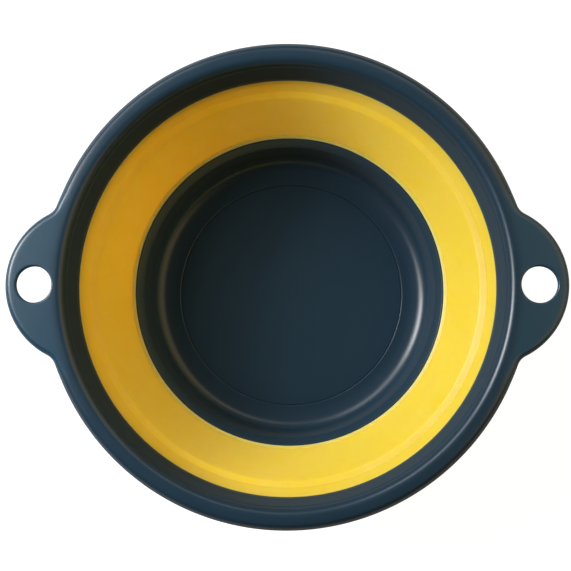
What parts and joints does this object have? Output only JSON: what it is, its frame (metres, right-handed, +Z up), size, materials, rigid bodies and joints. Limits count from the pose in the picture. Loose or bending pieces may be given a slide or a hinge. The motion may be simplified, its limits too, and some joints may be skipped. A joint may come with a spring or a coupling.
{
  "type": "collapsible camp washbasin",
  "caption": "Round collapsible washbasin: a hard rim with hanging ears and a hard base dish, joined by a soft wall that folds flat between them.",
  "frame": {"origin": "on the table, under the middle of the basin", "axes": "+Z up along the basin's axis, X through the middles of both ears"},
  "size_m": [0.37, 0.32, 0.1199],
  "materials": {
    "navy_plastic": "injection-moulded polypropylene, dark navy, semi-gloss",
    "yellow_rubber": "moulded thermoplastic rubber, warm yellow, satin"
  },
  "bodies": {
    "base": {"base_dish": "navy_plastic", "fold_wall": "yellow_rubber"},
    "rim": {"rim_frame": "navy_plastic"}
  },
  "joints": [
    {"name": "collapse", "type": "slide", "parent": "base", "child": "rim", "axis": [0, 0, -1], "range_m": [0, 0.075], "deforming": ["fold_wall"]}
  ]
}
